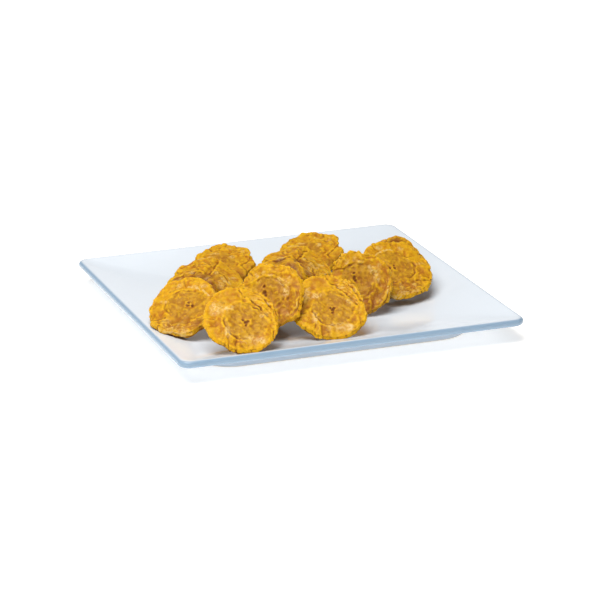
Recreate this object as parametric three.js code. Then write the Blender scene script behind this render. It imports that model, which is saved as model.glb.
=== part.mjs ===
// A pile of tostones, which are slices of green plantain fried, flattened and fried again, on
// a square white porcelain plate. Millimetres, +Z up, origin under the middle of the plate.
import * as THREE from 'three';

// Driving dimensions of the plate.
const PLATE_HALF_WIDTH = 150;
const PLATE_HEIGHT = 21;
const RIM_CORNER_RADIUS = 10;
const RIM_EDGE_THICKNESS = 6;
const RIM_ROUNDING = 0.9;
const FLOOR_HALF_WIDTH = 88;
const FLOOR_CORNER_RADIUS = 24;
const FLOOR_TOP = 11;
const FLOOR_THICKNESS = 6;
const WALL_CURVE = 1.6;
const WALL_STEPS = 6;
const FOOT_HALF_WIDTH = 118;
const FOOT_CORNER_RADIUS = 29;
const FOOT_RING_WIDTH = 9;
const FOOT_ROUNDING = 0.8;
const UNDERSIDE_AT_FOOT = 8.6;
const UNDERSIDE_SAG = 0.42;
const CORNER_STEPS = 6;

// Driving dimensions of a tostone. The stations are shares of the way from its middle to its rim.
const DISC_THICKNESS = 8;
const DISC_SEGMENTS = 28;
const TOP_STATIONS = [0.24, 0.44, 0.52, 0.6, 0.8, 0.93];
const UNDERSIDE_STATIONS = [0.93, 0.55];
const EDGE_THINNING = 0.22;
const CORE_GROOVE_STATION = 0.52;
const CORE_GROOVE_DEPTH = 0.9;
const CORE_PIT_DEPTH = 0.8;
const CRACK_COUNT = 7;
const CRACK_DEPTH = 0.7;
const CRACK_NOTCH = 0.02;
const FOLD_BLEND = 5;

// How far each wave of the outline and of the warp reaches, and how many times it goes round.
const OUTLINE_WAVES = [
  { count: 2, share: 0.025 },
  { count: 3, share: 0.018 },
  { count: 5, share: 0.014 },
];
const WARP_WAVES = [
  { count: 2, height: 0.9 },
  { count: 3, height: 0.6 },
];

// The two heaps of six and the pair at the right: where the middle of each tostone lies, how
// steeply it leans, the compass direction that its face leans towards (0 is the front, 90 the
// right), its own turn about its middle, and how sharply it is folded. Equal seeds give alike
// slices: the middle heap is laid like the left one, but on the floor instead of the wall.
const LEFT_HEAP = [
  { name: 'under', centre: [-108.9, -37.9, 34.8], lean: 37, facing: -49, turn: 54, radius: 27.8, seed: 1 },
  { name: 'side', centre: [-116.5, -54.5, 34.7], lean: 31.5, facing: -47, turn: 11, radius: 31.1, seed: 2 },
  { name: 'folded', centre: [-62.4, 47, 26.1], lean: 11, facing: 2, turn: -26, radius: 31.7, seed: 3, fold: 0.35 },
  { name: 'back', centre: [-34.7, 81.3, 23], lean: 17.5, facing: -17.5, turn: 21, radius: 27.9, seed: 4 },
  { name: 'leaning', centre: [-51.1, -84.6, 44.7], lean: 58, facing: -39.5, turn: -1, radius: 29.3, seed: 5 },
  { name: 'front', centre: [-88.8, -119.4, 40.6], lean: 38, facing: -8.5, turn: 11, radius: 31.6, seed: 6 },
];
const MIDDLE_HEAP = [
  { name: 'under', centre: [-33.7, -45.5, 33.5], lean: 48.5, facing: -48.5, turn: 11, radius: 30.3, seed: 1 },
  { name: 'side', centre: [-42.3, -59.8, 37.7], lean: 32.5, facing: -48.5, turn: 6, radius: 31, seed: 2 },
  { name: 'folded', centre: [17.9, 45.3, 30.9], lean: 7.5, facing: 26, turn: -50, radius: 32, seed: 3, fold: 0.42 },
  { name: 'back', centre: [45.2, 78.9, 24.4], lean: 20, facing: -26.5, turn: 29, radius: 29, seed: 4 },
  { name: 'leaning', centre: [40.1, -52.4, 36.5], lean: 59, facing: -16.5, turn: 0, radius: 28, seed: 5 },
  { name: 'front', centre: [-6.3, -100.1, 35.7], lean: 35, facing: -15, turn: 19, radius: 32, seed: 6 },
];
const RIGHT_PAIR = [
  { name: 'under', centre: [86.2, -12.6, 32.9], lean: 33, facing: -15.5, turn: -9, radius: 33.3, seed: 7, fold: 0.24 },
  { name: 'side', centre: [84.5, -26, 35.9], lean: 32, facing: 6, turn: 15, radius: 32.2, seed: 8 },
];

const PORCELAIN = { color: 0xeef2f6, roughness: 0.15, metalness: 0 };
const FRIED_PLANTAIN = { color: 0xe0a21f, roughness: 0.45, metalness: 0 };

// Closes a stack of rings, which all have the same number of points, into one body. The rings
// run from the middle of the top, over the edge, to the middle of the underside.
function skinRings(rings, topMiddle, undersideMiddle) {
  const points = [topMiddle, ...rings.flat(), undersideMiddle];
  const ringSize = rings[0].length;
  const last = points.length - 1;
  const faces = [];
  const vertex = (ring, step) => 1 + ring * ringSize + (step % ringSize);
  for (let step = 0; step < ringSize; step += 1) {
    faces.push(0, vertex(0, step), vertex(0, step + 1));
    for (let ring = 0; ring < rings.length - 1; ring += 1) {
      const [a, b] = [vertex(ring, step), vertex(ring, step + 1)];
      const [c, d] = [vertex(ring + 1, step), vertex(ring + 1, step + 1)];
      faces.push(a, c, d, a, d, b);
    }
    faces.push(last, vertex(rings.length - 1, step + 1), vertex(rings.length - 1, step));
  }
  const geometry = new THREE.BufferGeometry();
  geometry.setAttribute('position', new THREE.Float32BufferAttribute(points.flat(), 3));
  geometry.setIndex(faces);
  geometry.computeVertexNormals();
  return geometry;
}

// The points of a level square with rounded corners, anticlockwise from above.
function roundedSquare(halfWidth, cornerRadius, height) {
  const points = [];
  for (let corner = 0; corner < 4; corner += 1) {
    const middle = Math.PI / 4 + (corner * Math.PI) / 2;
    const reach = (halfWidth - cornerRadius) * Math.SQRT2;
    for (let step = 0; step <= CORNER_STEPS; step += 1) {
      const angle = middle - Math.PI / 4 + (step / CORNER_STEPS) * (Math.PI / 2);
      points.push([
        reach * Math.cos(middle) + cornerRadius * Math.cos(angle),
        reach * Math.sin(middle) + cornerRadius * Math.sin(angle),
        height,
      ]);
    }
  }
  return points;
}

// The plate's rings: up the curved wall, round the upright rim edge, back below the wall, and
// down and up the foot ring to the recess under the floor.
function plateGeometry() {
  const rings = [];
  const wallWidth = PLATE_HALF_WIDTH - RIM_ROUNDING - FLOOR_HALF_WIDTH;
  const wallRise = PLATE_HEIGHT - FLOOR_TOP;
  for (let step = 0; step <= WALL_STEPS; step += 1) {
    const share = step / WALL_STEPS;
    const radius = THREE.MathUtils.lerp(FLOOR_CORNER_RADIUS, RIM_CORNER_RADIUS, share);
    const height = FLOOR_TOP + wallRise * share ** WALL_CURVE;
    rings.push(roundedSquare(FLOOR_HALF_WIDTH + wallWidth * share, radius, height));
  }
  const rimBottom = PLATE_HEIGHT - RIM_EDGE_THICKNESS;
  const innerRimRadius = RIM_CORNER_RADIUS - RIM_ROUNDING;
  rings.push(roundedSquare(PLATE_HALF_WIDTH, RIM_CORNER_RADIUS, PLATE_HEIGHT - RIM_ROUNDING));
  rings.push(roundedSquare(PLATE_HALF_WIDTH, RIM_CORNER_RADIUS, rimBottom + RIM_ROUNDING));
  rings.push(roundedSquare(PLATE_HALF_WIDTH - RIM_ROUNDING, innerRimRadius, rimBottom));
  const footInner = FOOT_HALF_WIDTH - FOOT_RING_WIDTH;
  const footInnerRadius = FOOT_CORNER_RADIUS - FOOT_RING_WIDTH;
  const belowWall = (PLATE_HALF_WIDTH + FOOT_HALF_WIDTH) / 2;
  const belowWallHeight = THREE.MathUtils.lerp(UNDERSIDE_AT_FOOT, rimBottom, UNDERSIDE_SAG);
  rings.push(roundedSquare(belowWall, (RIM_CORNER_RADIUS + FOOT_CORNER_RADIUS) / 2, belowWallHeight));
  rings.push(roundedSquare(FOOT_HALF_WIDTH + FOOT_ROUNDING, FOOT_CORNER_RADIUS, UNDERSIDE_AT_FOOT));
  rings.push(roundedSquare(FOOT_HALF_WIDTH, FOOT_CORNER_RADIUS, FOOT_ROUNDING));
  rings.push(roundedSquare(FOOT_HALF_WIDTH - FOOT_ROUNDING, FOOT_CORNER_RADIUS, 0));
  rings.push(roundedSquare(footInner + FOOT_ROUNDING, footInnerRadius, 0));
  rings.push(roundedSquare(footInner, footInnerRadius, FOOT_ROUNDING));
  rings.push(roundedSquare(footInner - FOOT_ROUNDING, footInnerRadius, FLOOR_TOP - FLOOR_THICKNESS));
  return skinRings(rings, [0, 0, FLOOR_TOP], [0, 0, FLOOR_TOP - FLOOR_THICKNESS]);
}

// An angle between 0 and a full turn that looks random but is the same on each run.
function phase(seed, wave) {
  const scattered = Math.sin(seed * 12.9898 + wave * 78.233) * 43758.5453;
  return (scattered - Math.floor(scattered)) * 2 * Math.PI;
}

// How deep the radial cracks of the outer ring cut at an angle, from 0 to 1.
function crackShare(angle) {
  return Math.max(0, Math.cos(CRACK_COUNT * angle)) ** 4;
}

// How far the rim lies from the middle at an angle: a circle with lobes and cracked notches.
function outlineRadius(tostone, angle) {
  let share = 1 - CRACK_NOTCH * crackShare(angle);
  for (const wave of OUTLINE_WAVES) {
    share += wave.share * Math.cos(wave.count * angle + phase(tostone.seed, wave.count));
  }
  return tostone.radius * share;
}

// The height of the sheet half-way through the disc: its slow warp, and the fold across it.
function middleHeight(tostone, angle, station) {
  let height = 0;
  for (const wave of WARP_WAVES) {
    const turn = phase(tostone.seed, 10 + wave.count);
    height += wave.height * station ** 2 * Math.cos(wave.count * angle + turn);
  }
  const across = tostone.radius * station * Math.cos(angle);
  return height - (tostone.fold ?? 0) * (Math.hypot(across, FOLD_BLEND) - FOLD_BLEND);
}

// How much lower the top face lies than a smooth disc: the groove round the core, and the cracks.
function topRelief(angle, station) {
  if (station === CORE_GROOVE_STATION) return CORE_GROOVE_DEPTH;
  return station > CORE_GROOVE_STATION ? CRACK_DEPTH * crackShare(angle) * station : 0;
}

// One ring of the disc. Side is 1 on the top face, 0 on the rim and -1 on the underside.
function discRing(tostone, station, side) {
  const ring = [];
  for (let step = 0; step < DISC_SEGMENTS; step += 1) {
    const angle = (step / DISC_SEGMENTS) * 2 * Math.PI;
    const reach = outlineRadius(tostone, angle) * station;
    const half = (DISC_THICKNESS / 2) * (1 - EDGE_THINNING * station ** 2);
    const relief = side === 1 ? topRelief(angle, station) : 0;
    const height = middleHeight(tostone, angle, station) + side * half - relief;
    ring.push([reach * Math.cos(angle), reach * Math.sin(angle), height]);
  }
  return ring;
}

function tostoneGeometry(tostone) {
  const rings = [
    ...TOP_STATIONS.map((station) => discRing(tostone, station, 1)),
    discRing(tostone, 1, 0),
    ...UNDERSIDE_STATIONS.map((station) => discRing(tostone, station, -1)),
  ];
  const topMiddle = [0, 0, DISC_THICKNESS / 2 - CORE_PIT_DEPTH];
  return skinRings(rings, topMiddle, [0, 0, -DISC_THICKNESS / 2]);
}

// Leans a disc back, faces it to its compass direction, and turns it about its own middle.
function placement(tostone) {
  const upAxis = new THREE.Vector3(0, 0, 1);
  const rightAxis = new THREE.Vector3(1, 0, 0);
  const turned = (axis, degrees) =>
    new THREE.Quaternion().setFromAxisAngle(axis, THREE.MathUtils.degToRad(degrees));
  return turned(upAxis, tostone.facing)
    .multiply(turned(rightAxis, tostone.lean))
    .multiply(turned(upAxis, tostone.turn));
}

function tostoneMesh(tostone, groupName) {
  const material = new THREE.MeshStandardMaterial(FRIED_PLANTAIN);
  const mesh = new THREE.Mesh(tostoneGeometry(tostone), material);
  mesh.name = `tostone_${groupName}_${tostone.name}`;
  mesh.position.fromArray(tostone.centre);
  mesh.quaternion.copy(placement(tostone));
  return mesh;
}

const platedTostones = new THREE.Group();
const plate = new THREE.Mesh(plateGeometry(), new THREE.MeshStandardMaterial(PORCELAIN));
plate.name = 'plate';
platedTostones.add(plate);
for (const tostone of LEFT_HEAP) {
  platedTostones.add(tostoneMesh(tostone, 'left'));
}
for (const tostone of MIDDLE_HEAP) {
  platedTostones.add(tostoneMesh(tostone, 'middle'));
}
for (const tostone of RIGHT_PAIR) {
  platedTostones.add(tostoneMesh(tostone, 'right'));
}

export default platedTostones;
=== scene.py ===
"""Tostones, which are slices of green plantain fried, flattened and fried again, on a plate.

The slices and the plate are built around the solids of the frame. Metres outside, but the
making of a slice and of the plate is worked out in millimetres, and MM turns it into metres.
"""

import itertools
import math

import bmesh
import bpy
import numpy as np
from mathutils import Matrix, Vector
from mathutils.bvhtree import BVHTree


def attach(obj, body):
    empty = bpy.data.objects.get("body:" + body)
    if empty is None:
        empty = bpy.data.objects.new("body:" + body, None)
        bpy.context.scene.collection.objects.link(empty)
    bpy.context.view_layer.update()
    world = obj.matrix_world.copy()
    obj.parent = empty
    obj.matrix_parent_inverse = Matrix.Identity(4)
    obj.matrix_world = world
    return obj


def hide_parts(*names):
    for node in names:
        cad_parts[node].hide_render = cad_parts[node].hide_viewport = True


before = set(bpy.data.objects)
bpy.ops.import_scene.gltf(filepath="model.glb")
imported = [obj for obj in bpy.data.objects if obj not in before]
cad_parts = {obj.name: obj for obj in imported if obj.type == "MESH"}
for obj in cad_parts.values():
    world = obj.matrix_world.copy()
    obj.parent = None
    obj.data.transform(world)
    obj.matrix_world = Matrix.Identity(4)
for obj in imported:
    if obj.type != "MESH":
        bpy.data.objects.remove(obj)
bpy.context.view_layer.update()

MM = 0.001

# ---------------------------------------------------------------- the slices, by how they lie
# Every place on a slice is (right, up) in millimetres from its middle, as seen from in front of
# its face. Angles are in degrees, anticlockwise from right. A station is the share of the way
# from the middle to the rim.
#   core     middle and half widths of the seed core
#   ring     parts of the groove round the core: from angle, to angle, depth; the groove also gets painted shade
#   pits     places and radius of the dark pits of the seeds
#   creases  lines along which the pulp is torn or folded, and their depth, which also sets the painted
#   shade in them
#   flakes   where the pulp lifts in thin curved flakes: angles, stations, height; their lifted edges get painted glints
#   cream_and_glint  patches of starchy, oily flecks, partly painted glints: place, half widths,
#   strength
#   strokes  thin lines of the same pale pulp and painted glints
#   smooth   patches where the crust is smooth: place, radius
#   toasted_and_shaded  patches fried darker, some of them painted shade low on a face or behind a
#   neighbour: place, radius, strength
#   dips     lines along which the face sinks: places, half width, depth
#   olive_and_shade  patches that stayed greener and duller, some of them painted shade low on a face:
#   place, half widths, strength
#   shade_under_neighbour  painted shade close under a neighbour: place, radius, strength
#   ragged   angles between which the rim is torn in small lobes, and how deep
#   bulges   where the rim juts out, or steps in when below nought: angle, half width, how far
SLICES = {
    "front": {
        "core": (2.5, -3.5, 16.0, 16.5),
        "ring": [(165, 270, 1.3), (70, 130, 0.7), (-50, -5, 0.5)],
        "pits": [(0.8, -3.2, 1.0), (4.0, -4.0, 1.2), (2.2, -7.6, 0.9), (2.4, -5.2, 1.3)],
        "creases": [
            ([(9, 17), (13, 12), (16.5, 7), (19.5, 2), (21, -3)], 1.2),
            ([(11, 9), (14.5, 6), (17, 3)], 0.8),
            ([(19, 18), (22, 12), (25, 7), (26, 1)], 1.0),
            ([(2, 25), (4.5, 20.5), (9, 19)], 0.9),
            ([(14, 23), (19.5, 18)], 0.6),
            ([(-32, 2), (-26.5, 1), (-21.5, 0.5)], 0.5),
            ([(-32, -7), (-24.5, -6), (-19.5, -5.5)], 0.35),
            ([(-13, -16), (-14, -22), (-15.5, -31)], 0.55),
            ([(-8, -19.5), (-9.5, -33)], 0.7),
            ([(-4, -19), (-4.5, -26)], 0.4),
            ([(21.5, -15), (22.5, -24)], 0.7),
            ([(-16, -27), (-21, -25)], 0.5),
        ],
        "flakes": [(-5, 72, 0.52, 0.96, 0.8)],
        "cream_and_glint": [(-19, 10, 6, 5.5, 1.0), (-14, 15, 2.5, 3, 0.6), (-9, 9.5, 4.5, 2.5, 0.9),
                  (-13, -12, 2.5, 5, 0.8), (13, 17, 2.5, 2, 0.9), (17.5, 1, 3, 3, 0.8),
                  (13, -22.5, 3, 3, 1.0), (4, -21, 9, 4, 0.65), (23, 12, 2, 2, 0.6)],
        "strokes": [[(-14, -8), (-13, -12), (-11.5, -15)]],
        "smooth": [(-5, 22, 8), (-26, -3, 5)],
        "toasted_and_shaded": [(-24, -3, 4, 0.25), (-10, -24, 6, 0.5), (-7, -32, 7, 0.6), (-5, 23, 7, 0.35)],
        "dips": [],
        "olive_and_shade": [(-6, -26, 8, 4, 0.3)],
        "shade_under_neighbour": [],
        "ragged": [(-60, 100, 0.7), (215, 260, 0.6)],
        "bulges": [(210, 20, 1.4), (232, 7, -1.2), (262, 6, -1.2), (300, 30, 1.2), (335, 10, 1.4)],
    },
    "side": {
        "core": (3.4, 0.4, 18.6, 14.6),
        "ring": [(45, 150, 0.8), (178, 235, 0.9), (-65, -20, 1.0)],
        "pits": [(3.8, 2.7, 0.9), (4.1, -0.2, 1.1), (8.3, 0.8, 1.2)],
        "creases": [
            ([(-27, -20), (-20.5, -20.5), (-15.5, -19), (-10, -16)], 0.8),
            ([(-10.5, -31), (-9.5, -24.5)], 0.8),
            ([(-10, 24.5), (-8, 21), (-6, 18.5)], 0.4),
            ([(-16, 10), (-12.5, 13.5), (-8, 15)], 0.6),
            ([(17, -25), (23.5, -22)], 0.7),
        ],
        "flakes": [(235, 320, 0.64, 0.96, 0.7)],
        "cream_and_glint": [(-10.7, 17.7, 2.6, 3.6, 1.0), (9, 21.5, 3.5, 2.2, 0.8), (-17.5, 0, 3.5, 2, 0.9),
                  (-6, -19.5, 3.5, 3.5, 0.5), (7, -19, 2.5, 4.5, 0.6), (2, -25.5, 5, 2.5, 1.0),
                  (13, -25, 6, 2.5, 0.7), (-7.5, -28.5, 3, 2, 0.6), (2, 18.5, 4, 1.6, 0.9)],
        "strokes": [[(-3.5, 18.5), (1.5, 18), (5, 18.5), (9.5, 17), (14.5, 14.5), (18.5, 12)],
                    [(-8, -28), (-2, -29), (5.5, -29), (16, -27.3)]],
        "smooth": [(15, 19, 6), (-20, -12, 5)],
        "toasted_and_shaded": [(-17, -12, 6, 0.5), (0, 1, 4, 0.5), (22, -12, 8, 0.7), (12, -20, 8, 0.6),
                    (4, -19, 10, 0.7)],
        "dips": [([(-26, -17), (0, -17), (22, -15)], 4, 0.8)],
        "olive_and_shade": [(-4, -23, 13, 6, 0.9), (-22, -8, 6, 8, 0.3)],
        "shade_under_neighbour": [(22, -17, 7, 0.6), (27, -6, 5, 0.5), (6, -17, 9, 0.28)],
        "ragged": [(155, 210, 1.2)],
        "bulges": [(160, 7, -1.0), (210, 7, -0.8), (255, 18, 1.0)],
    },
    "under": {
        "core": (0.0, -2.0, 15.0, 14.0),
        "ring": [(0, 360, 0.5)],
        "pits": [(0.5, -2.0, 1.2)],
        "creases": [
            ([(-3, 24), (-3, 33)], 0.8),
            ([(9, 18), (15, 28)], 0.7),
            ([(-10, 17), (-17, 27)], 0.8),
            ([(20, 3), (31, 5)], 0.7),
            ([(0, -18), (2, -32)], 0.8),
        ],
        "flakes": [(70, 130, 0.7, 0.98, 0.6)],
        "cream_and_glint": [(8, 20, 5, 3, 0.5), (-14, 14, 5, 4, 0.5)],
        "strokes": [],
        "smooth": [(-10, 24, 9), (12, 20, 7)],
        "toasted_and_shaded": [(-12, 22, 11, 0.9), (14, 18, 10, 0.8), (0, 29, 10, 0.9)],
        "dips": [],
        "olive_and_shade": [],
        "shade_under_neighbour": [(-14, 15, 10, 0.8), (4, 19, 10, 1.0), (17, 12, 10, 1.0)],
        "ragged": [(0, 360, 0.5)],
        "bulges": [(70, 16, 2.6), (100, 9, -1.0)],
    },
    "folded": {
        "core": (6.0, -11.0, 9.0, 15.0),
        "ring": [],
        "pits": [(0.2, -1.0, 0.8), (0, -3.6, 0.9)],
        "creases": [
            ([(-1, 4), (0, -3.5), (-0.5, -11), (-2, -18)], 2.0),
            ([(1, 1), (6.5, 5), (11, 10.5), (15, 15), (17, 21)], 1.1),
            ([(-5, 4.5), (-12, 5.5), (-19, 7)], 1.5),
            ([(-5, 9), (-6, 15), (-4, 21)], 0.7),
            ([(5, 20), (8, 14), (6, 9)], 0.8),
            ([(10, -1), (14, -6), (13, -14)], 0.8),
            ([(9, -16), (8, -23), (3, -29)], 0.8),
            ([(-4, 18), (-2, 25)], 0.6),
            ([(20, 7), (28, 8)], 0.7),
            ([(22, -12), (29, -13)], 0.8),
        ],
        "flakes": [(-80, -15, 0.35, 0.9, 0.6)],
        "cream_and_glint": [(7.5, 0, 2, 3, 0.8), (11, -9.5, 2.2, 3.5, 0.9), (6.5, -14, 2, 3, 0.7),
                  (19, -6.5, 3.5, 2.2, 1.0), (13, -13.5, 2, 2, 0.7), (7, -28, 2.5, 2.5, 0.9),
                  (17.5, -22.5, 1.5, 4, 1.0), (-12, 7, 3, 1.5, 0.8), (4, -20, 3, 5, 0.4)],
        "strokes": [[(2, 29), (9, 28), (15, 26.5)], [(17, -20), (18.5, -25)]],
        "smooth": [(20, 14, 6), (-18, 14, 6)],
        "toasted_and_shaded": [(-3, 17.5, 4, 0.7), (-8, 11, 5, 0.7), (7, 17, 5, 0.7), (-13, 5, 6, 1.0),
                    (5, 9, 4, 0.6), (1, 0, 4, 1.0), (3, -9, 7, 0.6), (5, -27, 7, 1.0)],
        "dips": [([(0, 3), (3, -8), (6, -28)], 7, 2.6), ([(2, 2), (8, 8), (15, 15)], 3.5, 1.0)],
        "olive_and_shade": [(7, -12, 10, 14, 0.5)],
        "shade_under_neighbour": [(-15, 1, 6, 0.9), (0, -3, 5, 0.9), (4, -27, 7, 0.8)],
        "ragged": [(-60, 60, 0.6), (120, 190, 0.6)],
        "bulges": [(102, 10, -3.0), (128, 8, 0.8), (142, 7, -4.5), (163, 8, 4.5), (186, 12, -4.5),
                   (-34, 16, 3.0)],
    },
    "back": {
        "core": (-3.0, 1.0, 13.0, 12.0),
        "ring": [(200, 300, 0.3)],
        "pits": [(-4.0, 0.5, 0.9)],
        "creases": [
            ([(24, 5), (21.5, 3.5), (17, -2), (13.5, -6)], 0.9),
            ([(14, -6.5), (16, -12), (17.5, -17), (18, -22)], 0.9),
            ([(11, 25), (10.8, 19)], 0.8),
            ([(2, 25), (1, 20)], 0.6),
            ([(-14, 20), (-10, 15)], 0.6),
            ([(-20, 8), (-13, 4)], 0.6),
            ([(4, 12), (8, 14), (14, 12)], 0.5),
        ],
        "flakes": [(20, 70, 0.6, 0.95, 0.5)],
        "cream_and_glint": [(6.5, 6.5, 2.6, 2.4, 1.0), (4, 17.5, 3, 1.5, 0.8), (-8.5, 10.5, 4, 1.5, 0.8),
                  (15.5, 14, 1.5, 3, 0.7), (-11.5, 6, 3, 1.5, 0.6)],
        "strokes": [],
        "smooth": [(14, -12, 7), (-14, 18, 7)],
        "toasted_and_shaded": [(11, -21, 8, 0.9), (7.5, -15, 7, 0.6), (-3.5, 1.5, 5, 0.6), (22, -7, 5, 0.5),
                    (-4, 8, 6, 0.3)],
        "dips": [([(20, 2), (13, -5), (-4, -8)], 5, 1.2)],
        "olive_and_shade": [(-4, -10, 12, 8, 0.4)],
        "shade_under_neighbour": [(15, -24, 10, 1.0), (5, -24, 9, 0.9), (24, -14, 6, 0.8)],
        "ragged": [(0, 180, 1.0)],
        "bulges": [(102, 10, 2.0), (44, 12, 2.4), (66, 7, -0.8), (14, 9, -3.2), (145, 10, -1.2),
                   (-55, 10, 2.5)],
    },
    "leaning": {
        "core": (-2.0, 1.5, 14.0, 14.0),
        "ring": [(25, 150, 1.2), (-60, 5, 0.7), (180, 240, 0.5)],
        "pits": [(-5.0, 2.8, 1.7), (-6.1, 7.2, 1.1), (-3.7, 0.8, 1.2)],
        "creases": [
            ([(24.5, 0), (24.5, -3), (23.5, -8), (20, -13)], 1.0),
            ([(13.5, 4.5), (15, 2), (16, -1)], 0.7),
            ([(-15, 9), (-17, 8.5), (-21.5, 6.5)], 0.6),
            ([(10, -12), (13, -20), (14, -28)], 0.8),
            ([(3, 21), (9, 22)], 0.5),
            ([(-18, 16), (-23, 19)], 0.7),
        ],
        "flakes": [(-45, 20, 0.55, 0.9, 0.4), (95, 140, 0.7, 0.95, 0.25)],
        "cream_and_glint": [(5.5, 14, 2.4, 2, 1.0), (9.5, 12, 5, 3, 0.95), (13, 16, 2, 2, 0.7),
                  (12.8, 5.5, 2.5, 4.5, 1.0), (-8, 18.5, 2, 2, 0.9), (-13.5, 15, 2, 2, 0.8),
                  (-2, 17, 2.5, 1.5, 0.7), (16, -13, 2, 2, 0.7)],
        "strokes": [[(23, -1), (22.8, -4), (22.8, -6.5)]],
        "smooth": [(22, 9, 6), (20, 2, 5), (-8, 25, 6)],
        "toasted_and_shaded": [(20.5, 8.5, 8, 0.9), (20, 2.5, 6, 0.8), (13, -16, 14, 1.0), (24, -9, 6, 1.0),
                    (-5, 4, 6, 0.6), (-8, -12, 10, 0.6), (8, 0, 9, 0.5)],
        "dips": [([(12, 8), (16, 0), (15, -10)], 4, 0.8)],
        "olive_and_shade": [(-2, 17, 10, 4, 0.4)],
        "shade_under_neighbour": [(13, -25, 8, 0.6), (-24, -8, 8, 0.7), (-14, -20, 8, 0.7), (14, -12, 10, 0.2)],
        "ragged": [(60, 200, 0.9)],
        "bulges": [(90, 8, -2.2), (114, 14, 1.0), (185, 14, 1.2), (330, 12, 2.0)],
    },
    "right_side": {
        "core": (-4.0, 0.5, 18.5, 15.8),
        "ring": [(-62, 8, 0.9), (15, 60, 0.7), (75, 130, 0.5), (225, 262, 0.8)],
        "pits": [(-3.5, 2.0, 0.9), (-8.3, 0.0, 1.2), (-3.8, -1.0, 1.2)],
        "creases": [
            ([(28, -19), (22.5, -19.5), (16.5, -18), (10.5, -16.5)], 0.9),
            ([(9.5, -31), (8, -26)], 0.8),
            ([(8.5, 14), (10.5, 10), (14, 6.5)], 0.6),
            ([(4, 24), (6, 30)], 0.6),
            ([(-12, 22), (-14, 28)], 0.6),
        ],
        "flakes": [(-125, -62, 0.66, 0.96, 0.7)],
        "cream_and_glint": [(10.5, 17.5, 2.8, 3.2, 1.0), (-8, 22.5, 3, 2.5, 0.9), (20, -0.5, 4, 1.6, 0.9),
                  (6, -21.5, 1.6, 3, 0.6), (-6, -21.5, 2.5, 4.5, 0.6), (-5, -27.5, 5, 2, 1.0),
                  (-15, -26.5, 5, 2, 0.8), (4, -28.5, 5, 1.6, 0.7)],
        "strokes": [[(-16.5, 13.5), (-12.5, 16.5), (-8, 18), (-2.5, 18.5), (2, 18)],
                    [(-19, -26), (-12, -29), (-3, -30)]],
        "smooth": [(-20, 17, 6), (20, -10, 5)],
        "toasted_and_shaded": [(16, -9, 6, 0.6), (2, -2, 5, 0.5), (-20, -14, 9, 0.7), (-10, -20, 8, 0.6),
                    (2, -20, 9, 0.7)],
        "dips": [([(-26, -15), (0, -17), (24, -18)], 4, 0.8)],
        "olive_and_shade": [(1, -23, 14, 7, 1.0)],
        "shade_under_neighbour": [(-25, -12, 7, 0.6), (-20, -22, 6, 0.5)],
        "ragged": [(-15, 50, 1.2)],
        "bulges": [(90, 18, -2.6), (20, 8, -1.8), (242, 12, 3.2), (340, 7, -1.6)],
    },
}

# Single slices that jut out further than others of their kind: angle, half width, how far.
WIDER = {
    "tostone_middle_front": [(235, 22, 1.7), (275, 25, 1.9), (315, 20, 1.3)],
    "tostone_left_side": [(285, 12, 1.2), (305, 14, 2.2)],
}

# How far a slice of the middle heap is turned on its face from its twin in the left heap, degrees.
TURNED = {"front": 3.5, "leaning": -10.0, "folded": -26.0, "back": 7.0}

# The mesh of a slice: voxels in metres, rounds of smoothing, and the rest in millimetres.
VOXEL = 0.55 * MM
SMOOTHING_ROUNDS = 12
GRAIN_BLUR_ROUNDS = 16
EVENING_ROUNDS = 90
RIM_GROWTH = 1.1
FACE_SINKS = 0.25
RIM_STEPS_IN = 0.35
RIM_SECTORS = 90

# How deep a point may lie in another piece and still be moved out of it, and the gap it is left.
FIT_REACH = 5.0
FIT_GAP = 0.1
MOST_CROSSINGS = 20
STEP_PAST_HIT = 0.01

MASKS = ("relief", "olive_and_shade", "toast_and_shade", "fleck_and_glint", "crease_and_side_shade", "pit", "rim_highlight", "shade_under_neighbour")


# ---------------------------------------------------------------- random relief
def lattice_random(cell, seed):
    """A fixed random number from 0 to 1 for each whole-number lattice point."""
    x, y, z = cell[..., 0], cell[..., 1], cell[..., 2]
    mixed = (x * 73856093) ^ (y * 19349663) ^ (z * 83492791) ^ (seed * 668265263)
    mixed = ((mixed ^ (mixed >> 13)) * 1274126177) & 0xFFFFFFFF
    mixed = ((mixed ^ (mixed >> 15)) * 2246822519) & 0xFFFFFFFF
    return ((mixed ^ (mixed >> 16)) & 0xFFFFF) / 0xFFFFF


def lumps(points, size, seed):
    """Smooth random relief from about -1 to 1, with lumps of one size."""
    scaled = points / size
    base = np.floor(scaled).astype(np.int64)
    part = scaled - base
    fade = part**3 * (part * (part * 6 - 15) + 10)
    total = np.zeros(len(points))
    for corner in itertools.product((0, 1), repeat=3):
        cell = base + np.array(corner)
        slope = np.stack([lattice_random(cell, seed * 3 + k) * 2 - 1 for k in range(3)], 1)
        weight = np.prod(np.where(np.array(corner) == 1, fade, 1 - fade), axis=1)
        total += weight * np.sum(slope * (part - np.array(corner)), axis=1)
    return np.clip(total * 1.9, -1, 1)


def pebbles(points, size, seed):
    """Rounded pebbles packed side by side: 1 on top of one, 0 in the joints between them."""
    scaled = points / size
    base = np.floor(scaled).astype(np.int64)
    nearest = np.full(len(points), 9.0)
    second = np.full(len(points), 9.0)
    for step in itertools.product((-1, 0, 1), repeat=3):
        cell = base + np.array(step)
        heart = np.stack([lattice_random(cell, seed * 3 + 90 + k) for k in range(3)], 1)
        distance = np.linalg.norm(cell + heart - scaled, axis=1)
        second = np.minimum(second, np.maximum(nearest, distance))
        nearest = np.minimum(nearest, distance)
    return np.clip((second - nearest) * 1.6, 0, 1) ** 0.6


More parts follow.
